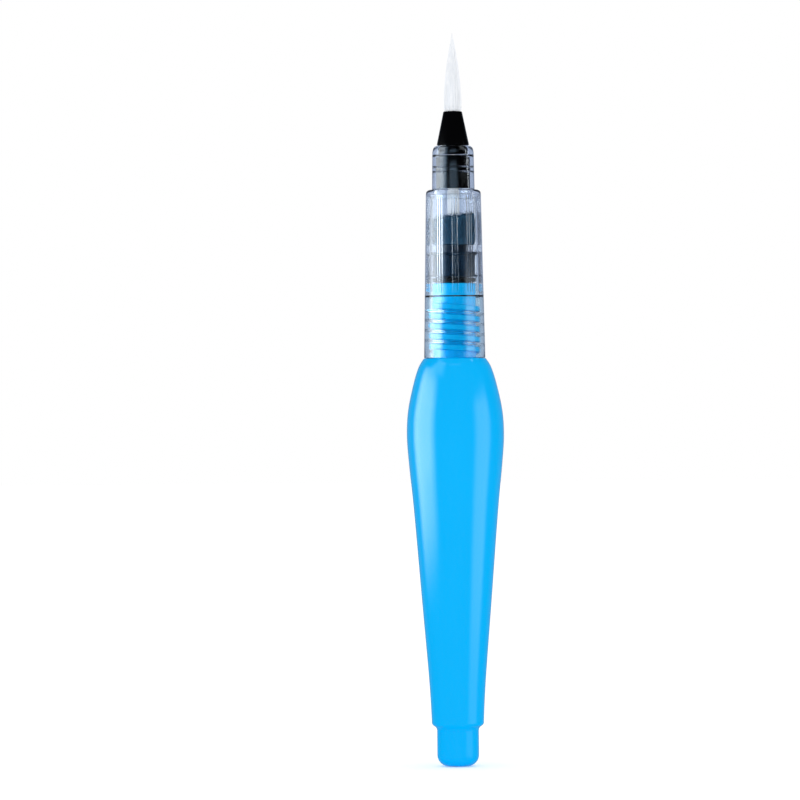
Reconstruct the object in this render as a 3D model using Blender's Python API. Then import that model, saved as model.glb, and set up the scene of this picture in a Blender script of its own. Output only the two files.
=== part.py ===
"""Water brush pen, standing on its tail with its brush tip up.

Every piece is round about +Z, the pen's long axis. The origin is the centre of
the tail's flat end. The clear holder, with the brush and its feed, unscrews from
the barrel's neck on a left-handed thread, and the tuft bends at its ferrule.
Lengths and heights below are millimetres; heights are measured up from the tail.
"""

import math

import bmesh
import bpy
from mathutils import Matrix, Vector

MM = 0.001
FULL_TURN = 2 * math.pi
FIT = 0.3  # gap left between two pieces that touch

# Overall
PEN_LENGTH = 145.0
SIDES = 36  # facets round a large turned piece
SMALL_SIDES = 24  # facets round a small one
ROD_SIDES = 16  # facets round the stem and the wick
THREAD_SIDES = 24  # facets in one turn of a thread

# Barrel: a blown bottle with a thin stub for a tail and a threaded neck
TAIL_R = 4.15
TAIL_ROUNDING = 2.2
TAIL_TOP = 8.0
HEEL_ROUNDING = 0.9  # the barrel's lower edge, above the stub
WAIST_STATIONS = (  # (radius, height) of the swelling grip, heel to shoulder
    (5.15, 8.9),
    (5.6, 17.0),
    (6.9, 33.0),
    (8.3, 50.3),
    (9.25, 60.0),
    (9.6, 65.5),
    (9.3, 70.4),
    (8.2, 75.6),
    (7.2, 78.8),
)
SHOULDER_R = 6.15
SHOULDER_TOP = 80.6  # the ledge that the holder screws down to
BARREL_WALL = 1.0
CAVITY_TOP = (6.9, 76.1)  # (radius, height) where the cavity starts to close in
THROAT_BASE = SHOULDER_TOP - 1.2
TAIL_FLOOR = 1.2
FLOOR_CHAMFER = 0.6
NECK_R = 4.25
NECK_BORE_R = 3.3
NECK_TOP = 95.4
NECK_ROUNDING = 0.3

# Thread on the neck, and the one in the holder that runs in its groove
PITCH = 2.0
THREAD_TOP = 91.2  # height of the neck ridge's middle where it starts
NECK_TURNS = 4.75
NECK_CREST_R = 5.08
NECK_CREST_WIDTH = 0.95
NECK_ROOT_WIDTH = 1.3
HOLDER_TURNS = 4.0
HOLDER_CREST_R = 4.6
HOLDER_CREST_WIDTH = 0.3
HOLDER_ROOT_WIDTH = 0.5
THREAD_SINK = 0.15  # how far a ridge is sunk into the wall that carries it

# Clear holder: a tapered tube with ribs inside, and a nozzle on its front
HOLDER_BASE = SHOULDER_TOP + FIT
HOLDER_BASE_R = 6.05
HOLDER_TOP_R = 5.42
HOLDER_TOP = 113.9
HOLDER_ROUNDING = 0.7
THREAD_BORE_R = 5.3
THREAD_BORE_TOP = 92.6
BORE_BASE_R = 4.95
BORE_TOP_R = 4.75
BORE_TOP = 112.9
RIB_CLUSTERS = 10
RIBS_IN_CLUSTER = 3
RIB_SPACING = 6.1  # degrees between the ribs of a cluster
RIB_HEIGHT = 0.12
RIB_WIDTH = 0.28
RIB_START = -88.5  # degrees round to the middle of the first cluster
RIB_BASE = 93.4
RIB_TOP = 112.5
NOZZLE_BASE_R = 4.2
NOZZLE_TOP_R = 4.08
NOZZLE_TOP = 122.6
NOZZLE_ROUNDING = 0.8
NOZZLE_BORE_R = 3.6
NOZZLE_BORE_TOP = 120.6
NOZZLE_MOUTH_R = 3.25
COLLAR_R = 4.1  # the nozzle's bore carries on into the holder as a short collar
COLLAR_BASE = 111.9

# Black ferrule: a cone in front, a sleeve with a snap bead inside the nozzle
CONE_BASE = NOZZLE_TOP + FIT / 2
CONE_BASE_R = 3.2
CONE_TOP = 129.4
CONE_TOP_R = 1.83
FERRULE_MOUTH_R = 1.5
FERRULE_MOUTH_BASE = CONE_TOP - 1.4  # the mouth's bore is straight down to here
CONE_BORE_BASE = CONE_BASE + 0.6  # and below it widens down to here
FERRULE_NECK_R = NOZZLE_MOUTH_R - FIT
SLEEVE_R = 3.35
SLEEVE_BASE = 114.0
SLEEVE_TOP = NOZZLE_BORE_TOP - FIT
SLEEVE_BORE_R = 2.4
BEAD_R = 3.45
BEAD_BASE = 117.2
BEAD_TOP = 118.2
BEAD_CHAMFER = 0.15

# Bristles: a straight stem held in the ferrule, and the tuft that bends
STEM_R = 1.2
STEM_BASE = 108.9
STEM_TOP = 128.55
STEM_CHAMFER = 0.2
BAND_R = 2.1  # the band that binds the stem, so that it can't pull out
BAND_BASE = 119.5
BAND_TOP = 121.5
BAND_CHAMFER = 0.25
TUFT_PIVOT = 130.0
TUFT_BALL_R = 1.15
TUFT_BALL_END = 10  # degrees above level where the round root turns into the tuft
TUFT_R = 1.82
TUFT_FLARE_TOP = 130.6
TUFT_TAPER = 1.9  # power of the tuft's outline: higher keeps it full for longer
TUFT_RINGS = 9

# Feed: a fibre sponge on a black plug, whose hole holds a wick down to the water
SPONGE_R = 4.2
SPONGE_BASE = 102.9
SPONGE_TOP = STEM_BASE - FIT
SPONGE_ROUNDING = 0.35
PLUG_FLANGE_R = 4.5
PLUG_BODY_R = 4.15
PLUG_HUB_R = 2.7
PLUG_HUB_TOP = SPONGE_BASE - FIT
PLUG_FLANGE_TOP = 101.5
PLUG_FLANGE_BASE = 101.15
PLUG_RIM_TOP = 97.05
PLUG_RIM_BASE = 96.7
PLUG_CHAMFER = 0.3
PLUG_SPIGOT_R = 2.95
PLUG_SPIGOT_BASE = 88.5
PLUG_TIP_LENGTH = 0.8
PLUG_TIP_R = PLUG_SPIGOT_R - 0.4
PLUG_HOLE_R = 0.95
GASKET_TOP = 96.4
GASKET_BASE = NECK_TOP + FIT
GASKET_R = 4.25
GASKET_BORE_R = PLUG_SPIGOT_R + FIT
GASKET_ROUNDING = 0.15
WICK_R = PLUG_HOLE_R - FIT
WICK_BASE = 85.0
WICK_TOP = PLUG_HUB_TOP
WICK_CHAMFER = 0.2


def clear_scene():
    """Removes what the scene holds, so that only the pen is left."""
    for old in list(bpy.data.objects):
        bpy.data.objects.remove(old, do_unlink=True)


# Outlines, as (radius, height) points in millimetres


def arc(centre, radius, start, end, steps=4):
    """Points on a circle's arc between two angles in degrees, both ends included."""
    points = []
    for step in range(steps + 1):
        turn = math.radians(start + (end - start) * step / steps)
        points.append((centre[0] + radius * math.cos(turn), centre[1] + radius * math.sin(turn)))
    return points


def smooth(stations, steps=3):
    """A Catmull-Rom curve through the stations, with their first and last points."""
    ends = [stations[0], *stations, stations[-1]]
    points = []
    for before, here, there, after in zip(ends, ends[1:], ends[2:], ends[3:]):
        for step in range(steps):
            points.append(between(before, here, there, after, step / steps))
    points.append(stations[-1])
    return points


def between(before, here, there, after, t):
    """One point of the Catmull-Rom span from here to there."""
    weights = (
        (-t + 2 * t**2 - t**3) / 2,
        (2 - 5 * t**2 + 3 * t**3) / 2,
        (t + 4 * t**2 - 3 * t**3) / 2,
        (-(t**2) + t**3) / 2,
    )
    corners = (before, here, there, after)
    return tuple(sum(w * c[axis] for w, c in zip(weights, corners)) for axis in range(2))


# Meshes


def new_object(name, mesh_data, material, base, parent=None):
    """Adds an object whose mesh is drawn from its own base height, in millimetres."""
    made = bpy.data.objects.new(name, mesh_data)
    bpy.context.scene.collection.objects.link(made)
    made.location = (0, 0, base * MM)
    if parent is not None:
        made.parent = parent
        made.matrix_parent_inverse = Matrix.Translation(-Vector(parent.location))
    if material is not None:
        mesh_data.materials.append(material)
    return made


def mesh_of(shape, name, smooth_shaded=True):
    """A mesh made from a bmesh, with its faces turned outwards."""
    bmesh.ops.recalc_face_normals(shape, faces=shape.faces)
    made = bpy.data.meshes.new(name)
    shape.to_mesh(made)
    shape.free()
    if smooth_shaded:
        made.shade_smooth()
        made.set_sharp_from_angle(angle=math.radians(30))
    return made


def turned(name, outline, material, sides=SIDES, parent=None):
    """A solid turned about Z. An outline that leaves the axis ends on it; any other is closed up."""
    base = min(height for _, height in outline)
    shape = bmesh.new()
    verts = [shape.verts.new((r * MM, 0, (z - base) * MM)) for r, z in outline]
    edges = [shape.edges.new(pair) for pair in zip(verts, verts[1:])]
    if outline[0][0] > 0:
        edges.append(shape.edges.new((verts[-1], verts[0])))
    bmesh.ops.spin(
        shape,
        geom=verts + edges,
        axis=(0, 0, 1),
        cent=(0, 0, 0),
        angle=FULL_TURN,
        steps=sides,
        use_merge=True,
    )
    bmesh.ops.remove_doubles(shape, verts=shape.verts, dist=0.0001 * MM)
    return new_object(name, mesh_of(shape, name), material, base, parent)


def thread_ridge(name, root_r, crest_r, root_width, crest_width, start, turns):
    """A left-handed ridge of trapezium section that winds down from start, at -X."""
    steps = round(turns * THREAD_SIDES)
    section = (
        (root_r, -root_width / 2),
        (crest_r, -crest_width / 2),
        (crest_r, crest_width / 2),
        (root_r, root_width / 2),
    )
    shape = bmesh.new()
    verts = [shape.verts.new((-r * MM, 0, z * MM)) for r, z in section]
    face = shape.faces.new(verts)
    bmesh.ops.spin(
        shape,
        geom=[face, *face.edges, *face.verts],
        axis=(0, 0, 1),
        cent=(0, 0, 0),
        dvec=(0, 0, -PITCH / THREAD_SIDES * MM),
        angle=turns * FULL_TURN,
        steps=steps,
        use_merge=False,
    )
    return helper(new_object(name, mesh_of(shape, name, smooth_shaded=False), None, start))


def rib_ring(name):
    """The clusters of ribs inside the holder, each rib a bar that leans in with the bore's taper."""
    length = RIB_TOP - RIB_BASE
    lean = math.atan((BORE_BASE_R - BORE_TOP_R) / (BORE_TOP - THREAD_BORE_TOP))
    thickness = 2 * RIB_HEIGHT
    middle_r = (BORE_BASE_R + BORE_TOP_R) / 2
    shape = bmesh.new()
    for index in range(RIB_CLUSTERS * RIBS_IN_CLUSTER):
        cluster, rib = divmod(index, RIBS_IN_CLUSTER)
        turn = RIB_START + 360 * cluster / RIB_CLUSTERS + RIB_SPACING * (rib - RIBS_IN_CLUSTER // 2)
        place = (
            Matrix.Rotation(math.radians(turn), 4, "Z")
            @ Matrix.Translation((middle_r * MM, 0, length / 2 * MM))
            @ Matrix.Rotation(-lean, 4, "Y")
            @ Matrix.Diagonal((thickness * MM, RIB_WIDTH * MM, length * MM, 1))
        )
        bmesh.ops.create_cube(shape, size=1, matrix=place)
    return helper(new_object(name, mesh_of(shape, name, smooth_shaded=False), None, RIB_BASE))


def helper(made):
    """Marks an object as a tool for a Boolean, which isn't a piece of the pen."""
    made.hide_render = True
    made.display_type = "WIRE"
    return made


def fuse(body, tool):
    """Joins a helper's shape to a body with a live Boolean."""
    union = body.modifiers.new(f"with_{tool.name}", "BOOLEAN")
    union.operation = "UNION"
    union.object = tool


def pivot(name, height, parent=None):
    """An empty on the pen's axis, for the pieces that move about it."""
    made = bpy.data.objects.new(name, None)
    bpy.context.scene.collection.objects.link(made)
    made.empty_display_size = 5 * MM
    made.location = (0, 0, height * MM)
    if parent is not None:
        made.parent = parent
        made.matrix_parent_inverse = Matrix.Translation(-Vector(parent.location))
    return made


# Materials


def plastic(name, colour, roughness, alpha=1.0, transmission=0.0):
    made = bpy.data.materials.new(name)
    made.use_nodes = True
    shader = made.node_tree.nodes["Principled BSDF"]
    shader.inputs["Base Color"].default_value = (*colour, 1)
    shader.inputs["Metallic"].default_value = 0
    shader.inputs["Roughness"].default_value = roughness
    shader.inputs["Alpha"].default_value = alpha
    shader.inputs["Transmission Weight"].default_value = transmission
    made.diffuse_color = (*colour, alpha)
    return made


# Pieces


def barrel():
    """The blue squeeze reservoir: tail stub, grip and threaded neck in one blown piece."""
    outside = [(0, 0), *arc((TAIL_R - TAIL_ROUNDING, TAIL_ROUNDING), TAIL_ROUNDING, -90, 0)]
    outside += arc((TAIL_R, TAIL_TOP + HEEL_ROUNDING), HEEL_ROUNDING, -90, -25, 3)
    outside += smooth([*WAIST_STATIONS, (SHOULDER_R, SHOULDER_TOP)])
    lip = arc((NECK_R - NECK_ROUNDING, NECK_TOP - NECK_ROUNDING), NECK_ROUNDING, 0, 90, 2)
    neck = [(NECK_R, SHOULDER_TOP), *lip, (NECK_BORE_R, NECK_TOP)]
    cavity = [CAVITY_TOP, *((r - BARREL_WALL, z) for r, z in reversed(WAIST_STATIONS[:-2]))]
    stub_bore_r = TAIL_R - BARREL_WALL
    stub = [
        (stub_bore_r, TAIL_TOP),
        (stub_bore_r, TAIL_FLOOR + FLOOR_CHAMFER),
        (stub_bore_r - FLOOR_CHAMFER, TAIL_FLOOR),
        (0, TAIL_FLOOR),
    ]
    inside = [(NECK_BORE_R, THROAT_BASE), *smooth(cavity, 2), *stub]
    blue = plastic("barrel_blue", (0.0, 0.42, 0.95), 0.3)
    made = turned("barrel", outside + neck + inside, blue)
    ridge = thread_ridge(
        "neck_thread",
        NECK_R - THREAD_SINK,
        NECK_CREST_R,
        NECK_ROOT_WIDTH,
        NECK_CREST_WIDTH,
        THREAD_TOP,
        NECK_TURNS,
    )
    fuse(made, ridge)
    return made


def front_holder(head):
    """The clear moulding that screws onto the neck and carries the brush in its nozzle."""
    outside = [(HOLDER_BASE_R, HOLDER_BASE)]
    outside += arc(
        (HOLDER_TOP_R - HOLDER_ROUNDING, HOLDER_TOP - HOLDER_ROUNDING), HOLDER_ROUNDING, 0, 90
    )
    outside += [(NOZZLE_BASE_R, HOLDER_TOP)]
    outside += arc(
        (NOZZLE_TOP_R - NOZZLE_ROUNDING, NOZZLE_TOP - NOZZLE_ROUNDING), NOZZLE_ROUNDING, 0, 90
    )
    inside = [
        (NOZZLE_MOUTH_R, NOZZLE_TOP),
        (NOZZLE_MOUTH_R, NOZZLE_BORE_TOP),
        (NOZZLE_BORE_R, NOZZLE_BORE_TOP),
        (NOZZLE_BORE_R, COLLAR_BASE),
        (COLLAR_R, COLLAR_BASE),
        (COLLAR_R, BORE_TOP),
        (BORE_TOP_R, BORE_TOP),
        (BORE_BASE_R, THREAD_BORE_TOP + THREAD_BORE_R - BORE_BASE_R),
        (THREAD_BORE_R, THREAD_BORE_TOP),
        (THREAD_BORE_R, HOLDER_BASE),
    ]
    clear = plastic("clear_styrene", (0.86, 0.9, 0.97), 0.05, alpha=0.35, transmission=1.0)
    made = turned("front_holder", outside + inside, clear, parent=head)
    fuse(made, rib_ring("holder_ribs"))
    ridge = thread_ridge(
        "holder_thread",
        THREAD_BORE_R + THREAD_SINK,
        HOLDER_CREST_R,
        HOLDER_ROOT_WIDTH,
        HOLDER_CREST_WIDTH,
        THREAD_TOP - PITCH / 2,
        HOLDER_TURNS,
    )
    fuse(made, ridge)
    return made


def ferrule(head):
    """The black cone that holds the tuft, with the sleeve and bead that snap into the nozzle."""
    outline = [
        (SLEEVE_BORE_R, SLEEVE_BASE),
        (SLEEVE_R, SLEEVE_BASE),
        (SLEEVE_R, BEAD_BASE),
        (BEAD_R, BEAD_BASE + BEAD_CHAMFER),
        (BEAD_R, BEAD_TOP - BEAD_CHAMFER),
        (SLEEVE_R, BEAD_TOP),
        (SLEEVE_R, SLEEVE_TOP),
        (FERRULE_NECK_R, SLEEVE_TOP),
        (FERRULE_NECK_R, CONE_BASE),
        (CONE_BASE_R, CONE_BASE),
        (CONE_TOP_R, CONE_TOP),
        (FERRULE_MOUTH_R, CONE_TOP),
        (FERRULE_MOUTH_R, FERRULE_MOUTH_BASE),
        (SLEEVE_BORE_R, CONE_BORE_BASE),
    ]
    black = plastic("ferrule_black", (0.006, 0.006, 0.007), 0.28)
    return turned("ferrule", outline, black, SMALL_SIDES, head)


def tuft_band(head):
    """The ring that binds the bristles into a stem inside the ferrule."""
    bore_r = STEM_R + FIT
    outline = [
        (bore_r, BAND_BASE),
        (BAND_R, BAND_BASE),
        (BAND_R, BAND_TOP - BAND_CHAMFER),
        (BAND_R - BAND_CHAMFER, BAND_TOP),
        (bore_r, BAND_TOP),
    ]
    grey = plastic("band_grey", (0.62, 0.64, 0.66), 0.35)
    return turned("tuft_band", outline, grey, SMALL_SIDES, head)


def bristle_stem(head):
    """The rear of the bristle bundle, from the sponge up to the ferrule's mouth."""
    outline = [
        (0, STEM_BASE),
        (STEM_R - STEM_CHAMFER, STEM_BASE),
        (STEM_R, STEM_BASE + STEM_CHAMFER),
        (STEM_R, STEM_TOP - STEM_CHAMFER),
        (STEM_R - STEM_CHAMFER, STEM_TOP),
        (0, STEM_TOP),
    ]
    white = plastic("stem_nylon", (0.86, 0.89, 0.93), 0.5)
    return turned("bristle_stem", outline, white, ROD_SIDES, head)


def bristle_tuft(tuft_pivot):
    """The pointed tuft, with a round root so that it can bend in the ferrule's mouth."""
    length = PEN_LENGTH - CONE_TOP
    root = arc((0, TUFT_PIVOT), TUFT_BALL_R, -90, TUFT_BALL_END, 5)
    root[0] = (0, TUFT_PIVOT - TUFT_BALL_R)
    belly = []
    for ring in range(TUFT_RINGS):
        height = TUFT_FLARE_TOP + (PEN_LENGTH - TUFT_FLARE_TOP) * ring / TUFT_RINGS
        reach = (height - CONE_TOP) / length
        belly.append((TUFT_R * (1 - reach**TUFT_TAPER), height))
    white = plastic("tuft_nylon", (0.88, 0.91, 0.95), 0.5)
    outline = [*root, *belly, (0, PEN_LENGTH)]
    return turned("bristle_tuft", outline, white, SMALL_SIDES, tuft_pivot)


def flow_sponge(head):
    """The dark fibre plug that meters the water from the wick to the bristles."""
    rounding = SPONGE_ROUNDING
    outline = [(0, SPONGE_BASE)]
    outline += arc((SPONGE_R - rounding, SPONGE_BASE + rounding), rounding, -90, 0, 2)
    outline += arc((SPONGE_R - rounding, SPONGE_TOP - rounding), rounding, 0, 90, 2)
    outline += [(0, SPONGE_TOP)]
    dark = plastic("sponge_fibre", (0.02, 0.045, 0.08), 0.9)
    return turned("flow_sponge", outline, dark, SMALL_SIDES, head)


def regulator_plug(head):
    """The black plug whose spigot closes the neck, with a hole down its middle."""
    outline = [
        (PLUG_HOLE_R, PLUG_SPIGOT_BASE),
        (PLUG_TIP_R, PLUG_SPIGOT_BASE),
        (PLUG_SPIGOT_R, PLUG_SPIGOT_BASE + PLUG_TIP_LENGTH),
        (PLUG_SPIGOT_R, PLUG_RIM_BASE),
        (PLUG_FLANGE_R, PLUG_RIM_BASE),
        (PLUG_FLANGE_R, PLUG_RIM_TOP),
        (PLUG_BODY_R, PLUG_RIM_TOP),
        (PLUG_BODY_R, PLUG_FLANGE_BASE - PLUG_CHAMFER),
        (PLUG_FLANGE_R, PLUG_FLANGE_BASE),
        (PLUG_FLANGE_R, PLUG_FLANGE_TOP),
        (PLUG_HUB_R, PLUG_FLANGE_TOP),
        (PLUG_HUB_R, PLUG_HUB_TOP),
        (PLUG_HOLE_R, PLUG_HUB_TOP),
    ]
    black = plastic("plug_black", (0.01, 0.012, 0.015), 0.4)
    return turned("regulator_plug", outline, black, SMALL_SIDES, head)


def neck_gasket(seal):
    """The soft ring round the spigot, squeezed between the plug's rim and the neck's lip."""
    rounding = GASKET_ROUNDING
    outline = [(GASKET_BORE_R, GASKET_BASE)]
    outline += arc((GASKET_R - rounding, GASKET_BASE + rounding), rounding, -90, 0, 2)
    outline += arc((GASKET_R - rounding, GASKET_TOP - rounding), rounding, 0, 90, 2)
    outline += [(GASKET_BORE_R, GASKET_TOP)]
    dark = plastic("gasket_rubber", (0.02, 0.022, 0.026), 0.7)
    return turned("neck_gasket", outline, dark, SMALL_SIDES, seal)


def feed_wick(head):
    """The porous rod in the plug's hole, from the reservoir up to the sponge."""
    outline = [
        (0, WICK_BASE),
        (WICK_R - WICK_CHAMFER, WICK_BASE),
        (WICK_R, WICK_BASE + WICK_CHAMFER),
        (WICK_R, WICK_TOP - WICK_CHAMFER),
        (WICK_R - WICK_CHAMFER, WICK_TOP),
        (0, WICK_TOP),
    ]
    pale = plastic("wick_fibre", (0.82, 0.82, 0.78), 0.9)
    return turned("feed_wick", outline, pale, ROD_SIDES, head)


def main():
    clear_scene()
    barrel()
    seal = pivot("seal_rise", HOLDER_BASE)
    head = pivot("head_screw", HOLDER_BASE, seal)
    neck_gasket(seal)
    for piece in (front_holder, ferrule, tuft_band, bristle_stem, flow_sponge, regulator_plug, feed_wick):
        piece(head)
    bristle_tuft(pivot("tuft_pivot", TUFT_PIVOT, head))


main()
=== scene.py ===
"""The looks of a water brush pen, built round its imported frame.

Every piece is modelled in the frame's own metres, round about +Z, with the tail's flat end at the
origin. Lengths in the outlines are millimetres, turned into metres as each piece is spun.
"""

import math
import random

import bmesh
import bpy
from mathutils import Matrix, Vector, noise


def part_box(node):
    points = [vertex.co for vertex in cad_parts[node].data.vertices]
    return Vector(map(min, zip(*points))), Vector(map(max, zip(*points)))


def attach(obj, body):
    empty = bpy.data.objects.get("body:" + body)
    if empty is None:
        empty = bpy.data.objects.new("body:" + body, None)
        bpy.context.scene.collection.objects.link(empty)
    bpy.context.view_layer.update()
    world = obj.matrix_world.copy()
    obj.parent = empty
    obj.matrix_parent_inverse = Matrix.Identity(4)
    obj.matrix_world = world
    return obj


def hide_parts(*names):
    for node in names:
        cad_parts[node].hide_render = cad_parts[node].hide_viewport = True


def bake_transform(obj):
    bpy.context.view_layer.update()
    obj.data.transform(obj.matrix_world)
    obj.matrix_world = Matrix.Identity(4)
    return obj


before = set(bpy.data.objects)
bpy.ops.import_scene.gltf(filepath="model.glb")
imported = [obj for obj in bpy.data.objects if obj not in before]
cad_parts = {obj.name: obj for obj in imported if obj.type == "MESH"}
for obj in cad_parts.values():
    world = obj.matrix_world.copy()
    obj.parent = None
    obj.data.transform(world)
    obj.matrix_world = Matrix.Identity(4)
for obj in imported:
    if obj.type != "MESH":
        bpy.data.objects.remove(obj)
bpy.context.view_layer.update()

bl_info = {
    "name": "Water Brush Pen",
    "version": (1, 0, 0),
    "blender": (4, 5, 0),
    "location": "View3D > Sidebar > Brush Pen",
    "description": "Builds the finished pieces of a water brush pen on its frame",
    "category": "Add Mesh",
}

MM = 0.001
FULL_TURN = 2 * math.pi
FIT = 0.3  # gap between pieces that touch, as in the frame


def span(node):
    """(largest radius, lowest height, highest height) of a round node of the frame, in millimetres."""
    low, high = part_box(node)
    return round(high.x / MM, 3), round(low.z / MM, 3), round(high.z / MM, 3)


GRIP_R, TAIL_END, NECK_TOP = span("barrel")
HOLDER_BASE_R, HOLDER_BASE, NOZZLE_TOP = span("front_holder")
SLEEVE_BEAD_R, SLEEVE_BASE, CONE_TOP = span("ferrule")
BAND_R, BAND_BASE, BAND_TOP = span("tuft_band")
STEM_R, STEM_BASE, STEM_TOP = span("bristle_stem")
_, TUFT_BASE, TUFT_TIP = span("bristle_tuft")
SPONGE_R, SPONGE_BASE, SPONGE_TOP = span("flow_sponge")
PLUG_R, PLUG_BASE, _ = span("regulator_plug")
GASKET_R, GASKET_BASE, GASKET_TOP = span("neck_gasket")
WICK_R, WICK_BASE, WICK_TOP = span("feed_wick")

# Heights and radii that the barrel and the holder share at the screw joint
SHOULDER_TOP = HOLDER_BASE - FIT
NECK_R = 4.25
NECK_BORE_R = 3.3
PITCH = 2.0
THREAD_START = 91.2
THREAD_SINK = 0.15
PAINTED_NECK_REFLECTION_SPAN = (-3, 1.5)  # heights from the neck's top over which the holder's painted reflection of the blue neck clears
LEAST_RIDGE = 0.02  # share of its height that a ridge keeps at its very ends, so its section stays open


# Outlines, as (radius, height) points in millimetres


def arc(centre, radius, start, end, steps=8):
    """Points on a circle's arc between two angles in degrees, both ends included."""
    points = []
    for step in range(steps + 1):
        turn = math.radians(start + (end - start) * step / steps)
        points.append((centre[0] + radius * math.cos(turn), centre[1] + radius * math.sin(turn)))
    return points


def smooth(stations, steps=8):
    """A Catmull-Rom curve through the stations, with their first and last points."""
    ends = [stations[0], *stations, stations[-1]]
    points = []
    for before, here, there, after in zip(ends, ends[1:], ends[2:], ends[3:]):
        for step in range(steps):
            points.append(between(before, here, there, after, step / steps))
    points.append(stations[-1])
    return points


def between(before, here, there, after, t):
    """One point of the Catmull-Rom span from here to there."""
    weights = (
        (-t + 2 * t**2 - t**3) / 2,
        (2 - 5 * t**2 + 3 * t**3) / 2,
        (t + 4 * t**2 - 3 * t**3) / 2,
        (-(t**2) + t**3) / 2,
    )
    corners = (before, here, there, after)
    return tuple(sum(w * c[axis] for w, c in zip(weights, corners)) for axis in range(2))


def rounded(corners, steps=4):
    """An outline through corners given as (radius, height, rounding), each eased over its rounding."""
    points = []
    for index, (r, z, rounding) in enumerate(corners):
        here = Vector((r, z))
        if rounding == 0:
            points.append(tuple(here))
            continue
        before = Vector(corners[index - 1][:2])
        after = Vector(corners[(index + 1) % len(corners)][:2])
        start = here + (before - here).normalized() * rounding
        end = here + (after - here).normalized() * rounding
        for step in range(steps + 1):
            t = step / steps
            points.append(tuple(start * (1 - t) ** 2 + here * 2 * t * (1 - t) + end * t**2))
    return points


# Meshes


def turned(outline, steps):
    """A closed skin turned about Z. An outline that doesn't start on the axis is closed up first."""
    shape = bmesh.new()
    verts = [shape.verts.new((r * MM, 0, z * MM)) for r, z in outline]
    edges = [shape.edges.new(pair) for pair in zip(verts, verts[1:])]
    if outline[0][0] > 0:
        edges.append(shape.edges.new((verts[-1], verts[0])))
    bmesh.ops.spin(
        shape,
        geom=verts + edges,
        axis=(0, 0, 1),
        cent=(0, 0, 0),
        angle=FULL_TURN,
        steps=steps,
        use_merge=True,
    )
    bmesh.ops.remove_doubles(shape, verts=shape.verts, dist=0.0001 * MM)
    bmesh.ops.recalc_face_normals(shape, faces=shape.faces)
    return shape


def thread_ridge(section, start, turns, steps_per_turn, fade):
    """A left-handed ridge that winds down from start, at -X, and fades out at both ends.

    The section is a closed outline of (radius, height over its middle), whose first radius is its
    root's. The fade is the share of a turn over which an end runs out.
    """
    shape = bmesh.new()
    face = shape.faces.new([shape.verts.new((-r * MM, 0, (start + z) * MM)) for r, z in section])
    bmesh.ops.spin(
        shape,
        geom=[face, *face.edges, *face.verts],
        axis=(0, 0, 1),
        cent=(0, 0, 0),
        dvec=(0, 0, -PITCH / steps_per_turn * MM),
        angle=turns * FULL_TURN,
        steps=round(turns * steps_per_turn),
        use_merge=False,
    )
    root_r = section[0][0]
    for vert in shape.verts:
        share = (math.atan2(vert.co.y, vert.co.x) / FULL_TURN + 0.5) % 1
        turn = share + round((start - vert.co.z / MM) / PITCH - share)
        height = min(1.0, max(0.0, min(turn, turns - turn) / fade))
        height = height * height * (3 - 2 * height)
        radius = math.hypot(vert.co.x, vert.co.y) / MM
        factor = (root_r + (radius - root_r) * max(height, LEAST_RIDGE)) / radius
        vert.co.x *= factor
        vert.co.y *= factor
    bmesh.ops.recalc_face_normals(shape, faces=shape.faces)
    return shape


def ridge_section(root, crest, root_width, crest_width, rounding):
    """A thread ridge's section, from its root up to its crest."""
    foot, top = root_width / 2, crest_width / 2
    return rounded(
        [(root, -foot, 0), (crest, -top, rounding), (crest, top, rounding), (root, foot, 0)], 3
    )


def scratch_object(shape, name):
    """An object for a bmesh that is only needed for a moment."""
    mesh = bpy.data.meshes.new(name)
    shape.to_mesh(mesh)
    shape.free()
    made = bpy.data.objects.new(name, mesh)
    bpy.context.scene.collection.objects.link(made)
    return made


def evaluated_mesh(source):
    """The mesh that an object's modifiers or curve come to, and the object is gone."""
    view = bpy.context.evaluated_depsgraph_get()
    mesh = bpy.data.meshes.new_from_object(source.evaluated_get(view), depsgraph=view)
    bpy.data.objects.remove(source, do_unlink=True)
    return mesh


def united(body, tool):
    """Two closed bmeshes made one by an exact Boolean, as a bmesh."""
    base = scratch_object(body, "union_body")
    added = scratch_object(tool, "union_tool")
    union = base.modifiers.new("union", "BOOLEAN")
    union.operation = "UNION"
    union.solver = "EXACT"
    union.object = added
    mesh = evaluated_mesh(base)
    bpy.data.objects.remove(added, do_unlink=True)
    shape = bmesh.new()
    shape.from_mesh(mesh)
    bpy.data.meshes.remove(mesh)
    bmesh.ops.remove_doubles(shape, verts=shape.verts, dist=0.0005 * MM)
    bmesh.ops.dissolve_degenerate(shape, edges=shape.edges, dist=0.0005 * MM)
    return shape


def strand_mesh(strands, thickness):
    """One mesh of many thin tubes, each a list of (point in millimetres, share of the thickness)."""
    curve = bpy.data.curves.new("strands", "CURVE")
    curve.dimensions = "3D"
    curve.bevel_depth = thickness / 2 * MM
    curve.bevel_resolution = 0
    curve.use_fill_caps = True
    for strand in strands:
        spline = curve.splines.new("POLY")
        spline.points.add(len(strand) - 1)
        for point, (place, width) in zip(spline.points, strand):
            point.co = (*(Vector(place) * MM), 1)
            point.radius = width
    carrier = bpy.data.objects.new("strands", curve)
    bpy.context.scene.collection.objects.link(carrier)
    bpy.context.view_layer.update()
    mesh = evaluated_mesh(carrier)
    bpy.data.curves.remove(curve)
    return mesh


def add_mesh(shape, mesh):
    """Adds a mesh's faces to a bmesh."""
    shape.from_mesh(mesh)
    bpy.data.meshes.remove(mesh)


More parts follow.
